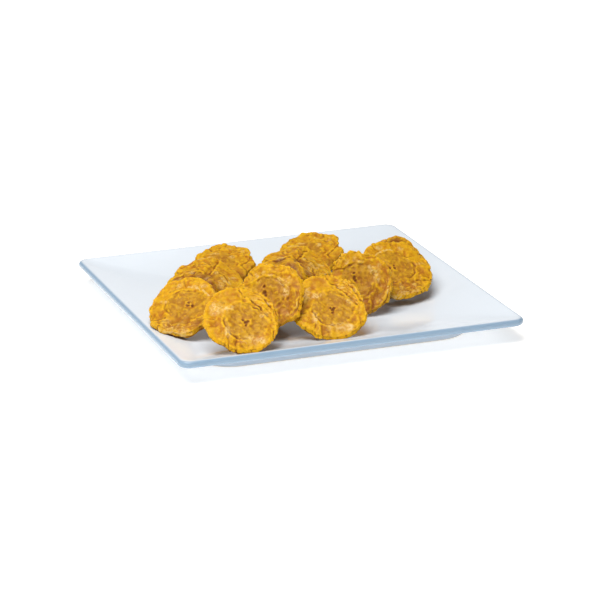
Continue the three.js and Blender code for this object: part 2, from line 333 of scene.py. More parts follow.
def ramp(value, low, high):
    """0 below low, 1 above high, and a soft step between; low may be the larger."""
    share = np.clip((value - low) / (high - low), 0, 1)
    return share * share * (3 - 2 * share)


def angle_between(angle, low, high, soft=10):
    """1 between two angles in degrees, with soft ends."""
    middle, half = (low + high) / 2, (high - low) / 2
    off = np.abs((angle - middle + 180) % 360 - 180)
    return ramp(off, half + soft, half - soft)


# ---------------------------------------------------------------- making a slice
def remeshed_copy(node, name):
    """An even, rounded mesh of a solid, of which the edges are voxels long."""
    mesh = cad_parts[node].data.copy()
    mesh.materials.clear()
    piece = bpy.data.objects.new(name, mesh)
    bpy.context.scene.collection.objects.link(piece)
    remesh = piece.modifiers.new("even_mesh", "REMESH")
    remesh.mode = "VOXEL"
    remesh.voxel_size = VOXEL
    smooth = piece.modifiers.new("rounded", "SMOOTH")
    smooth.factor = 0.5
    smooth.iterations = SMOOTHING_ROUNDS
    graph = bpy.context.evaluated_depsgraph_get()
    even = bpy.data.meshes.new_from_object(piece.evaluated_get(graph))
    piece.modifiers.clear()
    piece.data = even
    even.name = name
    bpy.data.meshes.remove(mesh)
    return piece


def read_vectors(collection, key):
    """Places or directions of a mesh as rows of three numbers."""
    flat = np.empty(len(collection) * 3)
    collection.foreach_get(key, flat)
    return flat.reshape(-1, 3)


def face_axes(points):
    """The directions right, up and out of a slice's face, found from the slice's points."""
    spread = points - points.mean(0)
    out = np.linalg.eigh(spread.T @ spread)[1][:, 0]
    out = out * np.sign(out[2])
    right = np.cross([0, 0, 1], out)
    right /= np.linalg.norm(right)
    return np.stack([right, np.cross(out, right), out])


def blurred(values, edges, rounds):
    """Values averaged over the neighbours of each vertex, a number of rounds."""
    count = np.bincount(edges.ravel(), minlength=len(values)) + 1
    for _ in range(rounds):
        total = values.copy()
        total += np.bincount(edges[:, 0], weights=values[edges[:, 1]], minlength=len(values))
        total += np.bincount(edges[:, 1], weights=values[edges[:, 0]], minlength=len(values))
        values = total / count
    return values


def rim_distance(angle, radius):
    """How far the rim lies from the middle at each angle, read from the slice itself."""
    index = ((angle / 360) % 1 * RIM_SECTORS).astype(int) % RIM_SECTORS
    rim = np.zeros(RIM_SECTORS)
    np.maximum.at(rim, index, radius)
    rim = (np.roll(rim, 1) + 2 * rim + np.roll(rim, -1)) / 4
    turn = (angle / 360) % 1 * RIM_SECTORS - 0.5
    low = np.floor(turn).astype(int)
    share = turn - low
    return rim[low % RIM_SECTORS] * (1 - share) + rim[(low + 1) % RIM_SECTORS] * share


def patches(right, up, places):
    """The strongest of several soft oval patches at each point."""
    cover = np.zeros(len(right))
    for x, y, half_right, half_up, strength in places:
        reach = np.hypot((right - x) / half_right, (up - y) / half_up)
        cover = np.maximum(cover, strength * ramp(reach, 1.35, 0.45))
    return cover


def round_patches(right, up, places):
    """The strongest of several soft round patches, each given by place, radius and strength."""
    return patches(right, up, [(x, y, radius, radius, strength) for x, y, radius, strength in places])


def line_reach(right, up, points):
    """How far each place is from a line through a few points, and on which side of it."""
    nearest = np.full(len(right), 99.0)
    side = np.zeros(len(right))
    for (x0, y0), (x1, y1) in zip(points, points[1:]):
        along = np.array([x1 - x0, y1 - y0])
        length = np.hypot(*along)
        share = ((right - x0) * along[0] + (up - y0) * along[1]) / length**2
        share = np.clip(share, 0, 1)
        off_right, off_up = right - x0 - share * along[0], up - y0 - share * along[1]
        reach = np.hypot(off_right, off_up)
        closer = reach < nearest
        nearest = np.where(closer, reach, nearest)
        side = np.where(closer, np.sign(off_right * along[1] - off_up * along[0]), side)
    return nearest, side


def slice_relief(look, local, facing, seed):
    """Heights over a slice in millimetres, how far its rim steps in, and its colour masks."""
    right, up = local[:, 0], local[:, 1]
    flat = local * np.array([1, 1, 0.6])
    angle = np.degrees(np.arctan2(up, right))
    radius = np.hypot(right, up)
    station = radius / rim_distance(angle, radius)
    top = ramp(facing, 0.1, 0.5)
    rim = ramp(station, 0.84, 0.97)
    wave = np.stack([lumps(flat, 5, seed + k) for k in (0, 1)], 1)
    ripple = np.stack([lumps(flat, 2.4, seed + k) for k in (2, 3)], 1)
    bent_right = right + 0.9 * wave[:, 0] + 0.45 * ripple[:, 0]
    bent_up = up + 0.9 * wave[:, 1] + 0.45 * ripple[:, 1]

    core_right, core_up, half_right, half_up = look["core"]
    along, across = (bent_right - core_right) / half_right, (bent_up - core_up) / half_up
    from_ring = (np.hypot(along, across) - 1) * (half_right + half_up) / 2
    from_ring += 0.8 * lumps(flat, 10, seed + 4)
    core_angle = np.degrees(np.arctan2(across, along))
    inside = ramp(from_ring, 0.8, -1.2)
    # Olive-dull seed core and patches; some of the patches are painted shade low on a face.
    olive_and_shade = np.maximum(inside, patches(bent_right, bent_up, look["olive_and_shade"]))

    smooth = round_patches(right, up, [(x, y, size, 1.0) for x, y, size in look["smooth"]])
    # Patches fried darker; some of them are painted shade low on a face or behind a neighbour.
    toasted_and_shaded = round_patches(right, up, look["toasted_and_shaded"])
    toasted_and_shaded *= 0.8 + 0.5 * lumps(flat, 4, seed + 5)
    cream_and_glint = patches(bent_right, bent_up, look["cream_and_glint"])
    # Painted shade where a neighbour lies close over the face.
    shade_under_neighbour = round_patches(bent_right, bent_up, look["shade_under_neighbour"])
    shade_under_neighbour *= (0.75 + 0.4 * lumps(flat, 6, seed + 19)) * (0.3 + 0.7 * top)

    rough = (1 - 0.8 * smooth) * (1 - 0.5 * inside) * (0.75 + 0.4 * lumps(flat, 9, seed + 6))
    warped = flat + 0.8 * np.stack([wave[:, 0], wave[:, 1], ripple[:, 0]], 1)
    coarse = pebbles(warped, 4.4, seed)
    fine = pebbles(warped, 2.2, seed + 1)
    height = 0.45 * rough * (coarse - 0.6) + 0.15 * rough * (fine - 0.6)
    height += 0.7 * lumps(flat, 11, seed + 7) + 0.7 * (1 - 0.4 * inside) * lumps(flat, 5.5, seed + 8)
    height += 0.25 * lumps(flat, 2.8, seed + 9) * (1 - 0.6 * smooth)

    # Grooves of the ring and creases, cut into the face and also painted with shade.
    groove = np.zeros(len(right))
    for low, high, depth in look["ring"]:
        cover = angle_between(core_angle, low, high, 14) * depth
        groove = np.maximum(groove, 0.8 * cover * np.exp(-((from_ring / 0.9) ** 2)))
        height += top * 0.3 * cover * np.exp(-(((from_ring - 1.6) / 1.1) ** 2))
    height -= top * 0.5 * inside * ramp(from_ring, 0, -6)
    for points, half_width, depth in look["dips"]:
        reach, _ = line_reach(bent_right, bent_up, points)
        height -= top * depth * np.exp(-((reach / half_width) ** 2))
    for points, depth in look["creases"]:
        reach, side = line_reach(bent_right, bent_up, points)
        width = (0.55 + 0.3 * depth) * (1 + 0.5 * lumps(flat, 4, seed + 11))
        open_share = depth * np.exp(-((reach / np.maximum(width, 0.3)) ** 2))
        groove = np.maximum(groove, open_share)
        lip = np.exp(-(((reach - 1.8) / 1.2) ** 2)) * (side > 0)
        height += top * 0.4 * depth * lip
    groove *= np.clip(0.65 + 0.8 * lumps(flat, 4.5, seed + 10), 0.1, 1.2)
    height -= 0.7 * groove * (0.3 + 0.7 * top)

    pit = np.zeros(len(right))
    for pit_right, pit_up, size in look["pits"]:
        reach = np.hypot(bent_right - pit_right, bent_up - pit_up)
        pit = np.maximum(pit, ramp(reach, 1.6 * size, 0.3 * size))
        toasted_and_shaded = np.maximum(toasted_and_shaded, 0.75 * ramp(reach, 4.2 * size, 1.0 * size))
    pit *= top
    height -= 0.8 * pit

    # Lifted flakes, of which the edges get painted glints below.
    lifted = np.zeros(len(right))
    for low, high, inner, outer, strength in look["flakes"]:
        cover = angle_between(angle, low, high) * ramp(station, inner - 0.06, inner + 0.06)
        cover *= ramp(station, outer + 0.05, outer - 0.05) * top * strength
        flake = from_ring / 2.4 + 0.7 * lumps(flat, 6, seed + 13) + angle / 140
        tooth = flake - np.floor(flake)
        saw = ramp(tooth, 0, 0.75) - ramp(tooth, 0.82, 1.0)
        cover *= 0.6 + 0.5 * lumps(flat, 4.5, seed + 14)
        height += 0.6 * cover * (saw - 0.5)
        lifted = np.maximum(lifted, cover * ramp(tooth, 0.4, 0.75) * ramp(tooth, 1, 0.85))

    ragged = np.full(len(right), RIM_STEPS_IN)
    for low, high, depth in look["ragged"]:
        ragged = np.maximum(ragged, depth * angle_between(angle, low, high, 12))
    lobes = pebbles(flat * np.array([1, 1, 0.4]), 4.6, seed + 2)
    step_in = rim * ragged * (1.9 * (1 - lobes) + 0.6 * lumps(flat, 3, seed + 15))
    step_in += rim * (0.4 - 0.6 * lumps(flat, 8, seed + 16)) + 0.9 * rim * groove
    for low, half_width, reach in look["bulges"]:
        away = (angle - low + 180) % 360 - 180
        step_in -= ramp(station, 0.6, 0.97) * reach * np.exp(-((away / half_width) ** 2))

    # Pale starchy flecks, partly painted glints of light on oil.
    speckle = 0.8 - 3.2 * np.abs(lumps(flat + 3, 2.8, seed + 17)) + 0.5 * lumps(flat, 4, seed + 18)
    fleck_and_glint = cream_and_glint * (0.25 + 0.75 * ramp(speckle, -0.1, 0.5))
    for points in look["strokes"]:
        reach, _ = line_reach(bent_right, bent_up, points)
        fleck_and_glint = np.maximum(fleck_and_glint, 0.9 * ramp(reach, 1.0, 0.4) * ramp(speckle, -0.9, -0.2))
    fleck_and_glint = np.maximum(fleck_and_glint, 0.6 * lifted * ramp(speckle, -0.2, 0.3)) * top * (1 - pit)
    height += 0.22 * fleck_and_glint
    # Painted shade on the side of a slice, darker the more it faces down.
    side_shade = (1 - top) * (0.4 + 0.6 * ramp(facing, 0.3, -0.6))
    masks = {
        "olive_and_shade": olive_and_shade * top,
        # Fried brown, with painted shade from some patches and from the down-facing side.
        "toast_and_shade": np.clip(toasted_and_shaded * (0.4 + 0.6 * top) + 0.65 * side_shade, 0, 1),
        "fleck_and_glint": np.clip(fleck_and_glint, 0, 1),
        # Painted shade in grooves and creases and on the down-facing side.
        "crease_and_side_shade": np.maximum(np.clip(0.65 * groove * top, 0, 1) ** 1.5, 0.4 * side_shade),
        "pit": pit,
        # Painted highlight along the top of the rim.
        "rim_highlight": rim * top,
        # Painted shade close under a neighbouring slice.
        "shade_under_neighbour": shade_under_neighbour,
    }
    return height, step_in, masks


def write_mask(mesh, name, values):
    """Keeps one number for each vertex, for the materials to read."""
    attribute = mesh.attributes.new(name, "FLOAT", "POINT")
    attribute.data.foreach_set("value", values.astype(np.float32))


def without_ridges(local, facing, edges):
    """The slice with its top face made even, so that its relief can be made afresh."""
    top = ramp(facing, 0.55, 0.85)
    weight = blurred(top, edges, EVENING_ROUNDS)
    even = blurred(top * local[:, 2], edges, EVENING_ROUNDS) / np.maximum(weight, 1e-3)
    local = local.copy()
    local[:, 2] += top * (even - local[:, 2])
    return local


def solid_of(piece):
    """A piece as a search tree, with the lowest and highest corner of its box in millimetres."""
    mesh = piece.data
    corners = [vertex.co.copy() for vertex in mesh.vertices]
    tree = BVHTree.FromPolygons(corners, [tuple(face.vertices) for face in mesh.polygons])
    points = read_vectors(mesh.vertices, "co") / MM
    return tree, points.min(0), points.max(0)


def is_inside(tree, point):
    """True where a line upward from the point leaves the solid an odd number of times."""
    up = Vector((0.11, 0.07, 1.0)).normalized()
    crossings = 0
    hit = tree.ray_cast(point, up)[0]
    while hit is not None and crossings < MOST_CROSSINGS:
        crossings += 1
        hit = tree.ray_cast(hit + up * STEP_PAST_HIT * MM, up)[0]
    return crossings % 2 == 1


def keep_clear(points, others):
    """Moves the points, in millimetres, out of the pieces that they would cut into."""
    for tree, low, high in others:
        near = np.flatnonzero(np.all((points > low) & (points < high), axis=1))
        for index in near:
            point = Vector(points[index] * MM)
            spot, normal = tree.find_nearest(point, FIT_REACH * MM)[:2]
            below_surface = spot is not None and (point - spot).dot(normal) <= 0
            if below_surface and is_inside(tree, point):
                points[index] = np.array(spot + normal * FIT_GAP * MM) / MM


def make_slice(node, look, turned, seed, material, others):
    """One slice in place of its solid, with its relief in the mesh and masks for its colours."""
    piece = remeshed_copy(node, node.replace("tostone", "slice"))
    mesh = piece.data
    points = read_vectors(mesh.vertices, "co") / MM
    edges = np.empty(len(mesh.edges) * 2, np.int32)
    mesh.edges.foreach_get("vertices", edges)
    edges = edges.reshape(-1, 2)

    middle = points.mean(0)
    axes = face_axes(points)
    turn = math.radians(turned)
    cosine, sine = math.cos(turn), math.sin(turn)
    axes = np.array([[cosine, sine, 0], [-sine, cosine, 0], [0, 0, 1]]) @ axes
    facing = read_vectors(mesh.vertex_normals, "vector") @ axes[2]
    local = without_ridges((points - middle) @ axes.T, facing, edges)
    mesh.vertices.foreach_set("co", ((local @ axes + middle) * MM).ravel())
    mesh.update()
    normals = read_vectors(mesh.vertex_normals, "vector")
    facing = normals @ axes[2]
    height, step_in, masks = slice_relief(look, local, facing, seed)
    height -= FACE_SINKS
    radius = np.hypot(local[:, 0], local[:, 1])
    outward = np.stack([local[:, 0], local[:, 1], np.zeros(len(local))], 1)
    outward /= np.maximum(radius, 1)[:, None]
    grown = RIM_GROWTH * ramp(radius, 0, radius.max()) - step_in
    moved = (local + outward * grown[:, None]) @ axes + middle + normals * height[:, None]
    keep_clear(moved, others)
    mesh.vertices.foreach_set("co", (moved * MM).ravel())
    mesh.update()

    # The height against its blurred neighbourhood, kept as a mask that paints light on raised spots and
    # shade in hollows.
    level = height - 0.8 * step_in
    grain = level - blurred(level, edges, GRAIN_BLUR_ROUNDS)
    write_mask(mesh, "relief", np.clip(0.5 + 0.9 * grain, 0, 1))
    for name, values in masks.items():
        write_mask(mesh, name, values)
    mesh.polygons.foreach_set("use_smooth", np.ones(len(mesh.polygons), bool))
    mesh.materials.append(material)
    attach(piece, "root")
    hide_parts(node)
    return piece


# ---------------------------------------------------------------- the plate
HALF_WIDTH = 150.0
RIM_TOP = 21.0
RIM_THICKNESS = 6.0
RIM_CORNER = 10.0
LIP_RADIUS = 2.8
LIP_ROLL = 16
FLOOR_HALF = 88.0
FLOOR_CORNER = 24.0
FLOOR_TOP = 11.0
FLOOR_UNDER = 5.0
WALL_CURVE = 1.6
FOOT_HALF = 118.0
FOOT_CORNER = 29.0
FOOT_WIDTH = 9.0
FOOT_ROUNDING = 0.8
UNDER_AT_FOOT = 8.6
UNDER_SAG = 0.42
CORNER_STEPS = 14
SIDE_STEPS = 22
FLOOR_RINGS = 10
WALL_RINGS = 26
LIP_STEPS = 7
# Half widths at which the painted bluish shade and reflection on the lip and on the underside starts
# and is full.
LIP_TINT_FROM = 146.4
LIP_TINT_FULL = 149.0
UNDER_TINT = 0.45
UNDER_TINT_FROM = 142.0
UNDER_TINT_FULL = 147.0


def plate_profile():
    """Half width, corner radius and height of each ring of the plate, from the middle of its
    floor over the rim and back under it to the recess inside its foot."""
    rings = []
    for step in range(1, FLOOR_RINGS + 1):
        share = step / FLOOR_RINGS
        rings.append((FLOOR_HALF * share, FLOOR_CORNER * share, FLOOR_TOP))
    lip_half = HALF_WIDTH - LIP_RADIUS
    wall_half = lip_half - LIP_RADIUS * math.sin(math.radians(LIP_ROLL))
    wall_top = RIM_TOP - LIP_RADIUS * (1 - math.cos(math.radians(LIP_ROLL)))
    for step in range(1, WALL_RINGS + 1):
        share = step / WALL_RINGS
        half = FLOOR_HALF + (wall_half - FLOOR_HALF) * share
        corner = FLOOR_CORNER + (RIM_CORNER - FLOOR_CORNER) * share
        rings.append((half, corner, FLOOR_TOP + (wall_top - FLOOR_TOP) * share**WALL_CURVE))
    for turn in (90, 0):
        middle_height = RIM_TOP - LIP_RADIUS if turn == 90 else RIM_TOP - RIM_THICKNESS + LIP_RADIUS
        for step in range(LIP_STEPS + 1):
            angle = math.radians(turn - 90 * step / LIP_STEPS)
            half = lip_half + LIP_RADIUS * math.cos(angle)
            corner = RIM_CORNER - LIP_RADIUS * (1 - math.cos(angle))
            rings.append((half, corner, middle_height + LIP_RADIUS * math.sin(angle)))
    rim_under = RIM_TOP - RIM_THICKNESS
    below_half = (HALF_WIDTH + FOOT_HALF) / 2
    below_height = UNDER_AT_FOOT + (rim_under - UNDER_AT_FOOT) * UNDER_SAG
    rings.append((below_half, (RIM_CORNER + FOOT_CORNER) / 2, below_height))
    foot_inner = FOOT_HALF - FOOT_WIDTH
    inner_corner = FOOT_CORNER - FOOT_WIDTH
    rings.append((FOOT_HALF + 2.5, FOOT_CORNER, UNDER_AT_FOOT + 0.4))
    rings.append((FOOT_HALF + FOOT_ROUNDING, FOOT_CORNER, UNDER_AT_FOOT - 0.3))
    rings.append((FOOT_HALF + 0.2, FOOT_CORNER, UNDER_AT_FOOT - 1.5))
    rings.append((FOOT_HALF, FOOT_CORNER, FOOT_ROUNDING * 2))
    rings.append((FOOT_HALF - 0.2, FOOT_CORNER, FOOT_ROUNDING * 0.6))
    rings.append((FOOT_HALF - FOOT_ROUNDING, FOOT_CORNER, 0.0))
    rings.append((FOOT_HALF - 2.5, FOOT_CORNER - 2.5, 0.0))
    rings.append((foot_inner + 2.5, inner_corner + 2.5, 0.0))
    rings.append((foot_inner + FOOT_ROUNDING, inner_corner, 0.0))
    rings.append((foot_inner + 0.2, inner_corner, FOOT_ROUNDING * 0.6))
    rings.append((foot_inner, inner_corner, FOOT_ROUNDING * 2))
    rings.append((foot_inner - FOOT_ROUNDING, inner_corner, FLOOR_UNDER - 1.0))
    rings.append((foot_inner - 3 * FOOT_ROUNDING, inner_corner, FLOOR_UNDER))
    for step in range(5, 0, -1):
        share = step / 6
        rings.append((foot_inner * share, inner_corner * share, FLOOR_UNDER))
    return rings


def rounded_square(half, corner):
    """The points of a square with round corners, anticlockwise, corners and sides in steps."""
    points = []
    for side in range(4):
        middle = math.pi / 4 + side * math.pi / 2
        reach = (half - corner) * math.sqrt(2)
        for step in range(CORNER_STEPS + 1):
            angle = middle - math.pi / 4 + step / CORNER_STEPS * math.pi / 2
            points.append((reach * math.cos(middle) + corner * math.cos(angle),
                           reach * math.sin(middle) + corner * math.sin(angle)))
        start = Vector(points[-1])
        turned = middle + math.pi / 2
        end = Vector((reach * math.cos(turned) + corner * math.cos(middle + math.pi / 4),
                      reach * math.sin(turned) + corner * math.sin(middle + math.pi / 4)))
        for step in range(1, SIDE_STEPS):
            points.append(tuple(start.lerp(end, step / SIDE_STEPS)))
    return points


def make_plate(material):
    """The plate, with masks for the painted bluish shade and reflection on its lip and underside, and
    for its bare foot.
    """
    mesh = bpy.data.meshes.new("square_plate")
    shape = bmesh.new()
    profile = plate_profile()
    rings = []
    for half, corner, height in profile:
        outline = rounded_square(half, corner)
        rings.append([shape.verts.new((x * MM, y * MM, height * MM)) for x, y in outline])
    size = len(rings[0])
    top_middle = shape.verts.new((0, 0, profile[0][2] * MM))
    under_middle = shape.verts.new((0, 0, profile[-1][2] * MM))
    for step in range(size):
        after = (step + 1) % size
        shape.faces.new((top_middle, rings[0][step], rings[0][after]))
        shape.faces.new((under_middle, rings[-1][after], rings[-1][step]))
        for inner, outer in zip(rings, rings[1:]):
            shape.faces.new((inner[step], outer[step], outer[after], inner[after]))
    for face in shape.faces:
        face.smooth = True
    shape.to_mesh(mesh)
    shape.free()
    heights = read_vectors(mesh.vertices, "co")[:, 2] / MM
    halves = np.array([half for half, corner, height in profile])
    past_lip = np.arange(len(profile)) > halves.argmax()
    # Painted bluish shade and reflection on the lip, and lighter painted shade on the underside.
    lip = ramp(halves, LIP_TINT_FROM, LIP_TINT_FULL)
    underside = UNDER_TINT + (1 - UNDER_TINT) * ramp(halves, UNDER_TINT_FROM, UNDER_TINT_FULL)
    shade = np.where(past_lip, underside, lip)
    write_mask(mesh, "lip_shade", np.concatenate([np.repeat(shade, size), [0, 0]]))
    write_mask(mesh, "bare_foot", ramp(heights, 0.7, 0.3))
    mesh.materials.append(material)
    piece = bpy.data.objects.new("square_plate", mesh)
    bpy.context.scene.collection.objects.link(piece)
    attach(piece, "root")
    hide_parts("plate")
    return piece


# ---------------------------------------------------------------- shader helpers
def new_group(name, inputs, outputs):
    """An empty shader group with named sockets, and its input and output nodes."""
    group = bpy.data.node_groups.new(name, "ShaderNodeTree")
    for kind, label, value in inputs:
        socket = group.interface.new_socket(label, in_out="INPUT", socket_type=kind)
        if value is not None:
            socket.default_value = value
    for kind, label in outputs:
        group.interface.new_socket(label, in_out="OUTPUT", socket_type=kind)
    return group, group.nodes.new("NodeGroupInput"), group.nodes.new("NodeGroupOutput")


def connect(tree, source, target):
    """Links a socket, or sets a plain value, on a target socket."""
    if isinstance(source, bpy.types.NodeSocket):
        tree.links.new(source, target)
    else:
        target.default_value = source


def maths(tree, operation, first, second=0.0, clamp=False):
    """Sums or products of masks and plain values."""
    node = tree.nodes.new("ShaderNodeMath")
    node.operation = operation
    node.use_clamp = clamp
    connect(tree, first, node.inputs[0])
    connect(tree, second, node.inputs[1])
    return node.outputs[0]


def tint(tree, amount, below, above):
    """Mixes two colours by an amount."""
    node = tree.nodes.new("ShaderNodeMix")
    node.data_type = "RGBA"
    connect(tree, amount, node.inputs[0])
    connect(tree, below, node.inputs[6])
    connect(tree, above, node.inputs[7])
    return node.outputs[2]


def soft_step(tree, value, low, high):
    """0 at low, 1 at high, soft between; low may be the larger."""
    node = tree.nodes.new("ShaderNodeMapRange")
    node.interpolation_type = "SMOOTHSTEP"
    connect(tree, value, node.inputs["Value"])
    node.inputs["From Min"].default_value = low
    node.inputs["From Max"].default_value = high
    return node.outputs["Result"]


def cloud(tree, place, scale, detail=2.0):
    """Soft random clouds from 0 to 1."""
    node = tree.nodes.new("ShaderNodeTexNoise")
    connect(tree, place, node.inputs["Vector"])
    connect(tree, scale, node.inputs["Scale"])
    node.inputs["Detail"].default_value = detail
    return node.outputs["Fac"]


def rgb(red, green, blue):
    """A colour given as it looks on a screen, from 0 to 255, in the linear form shaders use."""
    def linear(value):
        share = value / 255
        return share / 12.92 if share <= 0.04045 else ((share + 0.055) / 1.055) ** 2.4
    return (linear(red), linear(green), linear(blue), 1.0)


def mottle_group():
    """Patches of two sizes, as one mask from 0 to 1, and fine grain as a height."""
    group, given, result = new_group(
        "mottle",
        [("NodeSocketVector", "Place", None),
         ("NodeSocketFloat", "Patches Per Metre", 120.0),
         ("NodeSocketFloat", "Grains Per Metre", 900.0)],
        [("NodeSocketFloat", "Patches"), ("NodeSocketFloat", "Grain")],
    )
    place = given.outputs["Place"]
    large = cloud(group, place, given.outputs["Patches Per Metre"], 1.0)
    scale = maths(group, "MULTIPLY", given.outputs["Patches Per Metre"], 3.1)
    small = cloud(group, place, scale, 2.0)
    large_part = maths(group, "MULTIPLY", large, 0.78)
    both = maths(group, "ADD", large_part, maths(group, "MULTIPLY", small, 0.22))
    connect(group, soft_step(group, both, 0.4, 0.6), result.inputs["Patches"])
    grain = cloud(group, place, given.outputs["Grains Per Metre"], 3.0)
    connect(group, grain, result.inputs["Grain"])
    return group


def placed_group(tree, group, place):
    """A group put into a tree, with its place linked."""
    node = tree.nodes.new("ShaderNodeGroup")
    node.node_tree = group
    connect(tree, place, node.inputs["Place"])
    return node


def placed_mottle(tree, mottle, place, patches_per_metre, grains_per_metre):
    """The patches and the grain of the mottle group, at sizes of their own."""
    node = placed_group(tree, mottle, place)
    node.inputs["Patches Per Metre"].default_value = patches_per_metre
    node.inputs["Grains Per Metre"].default_value = grains_per_metre
    return node.outputs["Patches"], node.outputs["Grain"]


def crust_group(mottle):
    """The colour of fried plantain from the masks of a slice, with painted shade and painted highlights
    in it.
    """
    labels = [mask.capitalize() for mask in MASKS]
    group, given, result = new_group(
        "golden_crust",
        [("NodeSocketVector", "Place", None)] + [("NodeSocketFloat", label, 0.0) for label in labels],
        [("NodeSocketColor", "Colour"), ("NodeSocketFloat", "Roughness"), ("NodeSocketFloat", "Height"),
         ("NodeSocketFloat", "Oil")],
    )
    place = given.outputs["Place"]
    broad, grain = placed_mottle(group, mottle, place, 105.0, 1100.0)
    tight, _ = placed_mottle(group, mottle, place, 250.0, 500.0)
    relief, olive_and_shade, toast_and_shade, fleck_and_glint, crease_and_side_shade, pit, rim_highlight, shade_under_neighbour = (given.outputs[label] for label in labels)

    colour = tint(group, broad, rgb(188, 122, 25), rgb(210, 153, 27))
    colour = tint(group, maths(group, "MULTIPLY", tight, 0.45), colour, rgb(219, 170, 25))
    # Dull olive, darkened to serve also as painted shade.
    dull_and_shaded = tint(group, tight, rgb(164, 113, 31), rgb(193, 141, 35))
    colour = tint(group, maths(group, "MULTIPLY", olive_and_shade, 0.8), colour, dull_and_shaded)
    # Fried brown, also the colour of painted shade on patches and on the down-facing side.
    toasted_and_shaded = tint(group, tight, rgb(155, 90, 35), rgb(177, 108, 37))
    colour = tint(group, maths(group, "MULTIPLY", toast_and_shade, 0.85), colour, toasted_and_shaded)
    # Painted highlight, bright yellow along the top of the rim.
    colour = tint(group, maths(group, "MULTIPLY", rim_highlight, 0.7), colour, rgb(230, 174, 16))
    # Painted light on raised spots and painted shade in hollows.
    peak_light = maths(group, "MULTIPLY", soft_step(group, relief, 0.5, 0.75), 0.8)
    colour = tint(group, peak_light, colour, rgb(230, 178, 27))
    hollow_shade = maths(group, "MULTIPLY", soft_step(group, relief, 0.47, 0.15), 0.7)
    colour = tint(group, hollow_shade, colour, rgb(146, 89, 27))
    # Painted shade in grooves and creases and on the down-facing side, near black-brown.
    colour = tint(group, maths(group, "MULTIPLY", crease_and_side_shade, 0.9), colour, rgb(95, 49, 16))
    # Cream flecks, partly painted glints.
    colour = tint(group, maths(group, "MULTIPLY", fleck_and_glint, 0.8), colour, rgb(224, 188, 113))
    colour = tint(group, maths(group, "MULTIPLY", pit, 0.8), colour, rgb(95, 53, 20))
    # Painted shade under a neighbouring slice, in dark brown.
    colour = tint(group, maths(group, "MULTIPLY", shade_under_neighbour, 0.9), colour, rgb(116, 64, 21))
    connect(group, colour, result.inputs["Colour"])

    rough = maths(group, "SUBTRACT", 0.55, maths(group, "MULTIPLY", fleck_and_glint, 0.2))
    rough = maths(group, "SUBTRACT", rough, maths(group, "MULTIPLY", tight, 0.12))
    connect(group, rough, result.inputs["Roughness"])
    connect(group, grain, result.inputs["Height"])
    oil = maths(group, "ADD", 0.04, maths(group, "MULTIPLY", fleck_and_glint, 0.35), clamp=True)
    connect(group, oil, result.inputs["Oil"])
    return group


def new_material(name):
    """A material with its tree and its shader."""
    material = bpy.data.materials.new(name)
    material.use_nodes = True
    shader = material.node_tree.nodes["Principled BSDF"]
    return material, material.node_tree, shader


def mask_node(tree, name):
    """A mask that was written on the mesh."""
    node = tree.nodes.new("ShaderNodeAttribute")
    node.attribute_name = name
    return node.outputs["Fac"]


def bump(tree, shader, height, depth):
    """Grain too fine for the mesh, on a shader's normal."""
    node = tree.nodes.new("ShaderNodeBump")
    node.inputs["Distance"].default_value = depth
    connect(tree, height, node.inputs["Height"])
    connect(tree, node.outputs["Normal"], shader.inputs["Normal"])


def fried_plantain(crust):
    """Browned crust, with painted shade and glints in its colour, and a little oil on its pale flecks.
    """
    material, tree, shader = new_material("fried_plantain")
    place = tree.nodes.new("ShaderNodeTexCoord").outputs["Object"]
    golden = placed_group(tree, crust, place)
    for mask in MASKS:
        connect(tree, mask_node(tree, mask), golden.inputs[mask.capitalize()])
    connect(tree, golden.outputs["Colour"], shader.inputs["Base Color"])
    connect(tree, golden.outputs["Roughness"], shader.inputs["Roughness"])
    connect(tree, golden.outputs["Oil"], shader.inputs["Coat Weight"])
    shader.inputs["Coat Roughness"].default_value = 0.25
    shader.inputs["Specular IOR Level"].default_value = 0.1
    shader.inputs["Subsurface Weight"].default_value = 0.12
    shader.inputs["Subsurface Radius"].default_value = (1.0, 0.45, 0.1)
    shader.inputs["Subsurface Scale"].default_value = 1.5 * MM
    bump(tree, shader, golden.outputs["Height"], 0.25 * MM)
    return material


def porcelain(mottle):
    """White glaze, with painted bluish shade and reflection on the lip and underside, and a bare foot.
    """
    material, tree, shader = new_material("white_porcelain")
    place = tree.nodes.new("ShaderNodeTexCoord").outputs["Object"]
    glaze, ripple = placed_mottle(tree, mottle, place, 14.0, 160.0)
    colour = tint(tree, glaze, rgb(230, 238, 247), rgb(233, 241, 250))
    # Painted bluish shade and reflection on the lip and underside.
    colour = tint(tree, mask_node(tree, "lip_shade"), colour, rgb(142, 168, 192))
    bare = mask_node(tree, "bare_foot")
    colour = tint(tree, bare, colour, rgb(214, 206, 192))
    connect(tree, colour, shader.inputs["Base Color"])
    rough = maths(tree, "ADD", 0.12, maths(tree, "MULTIPLY", bare, 0.6))
    connect(tree, rough, shader.inputs["Roughness"])
    bump(tree, shader, ripple, 0.02 * MM)
    return material


def pale_floor(mottle):
    """White paper, lit a little from within so that its shadows stay light."""
    material, tree, shader = new_material("pale_floor")
    place = tree.nodes.new("ShaderNodeTexCoord").outputs["Object"]
    paper, _ = placed_mottle(tree, mottle, place, 2.0, 40.0)
    colour = tint(tree, paper, rgb(252, 250, 246), rgb(253, 251, 248))
    connect(tree, colour, shader.inputs["Base Color"])
    shader.inputs["Roughness"].default_value = 0.9
    shader.inputs["Specular IOR Level"].default_value = 0.1
    shader.inputs["Emission Color"].default_value = (1.0, 0.95, 0.9, 1.0)
    shader.inputs["Emission Strength"].default_value = 0.47
    return material


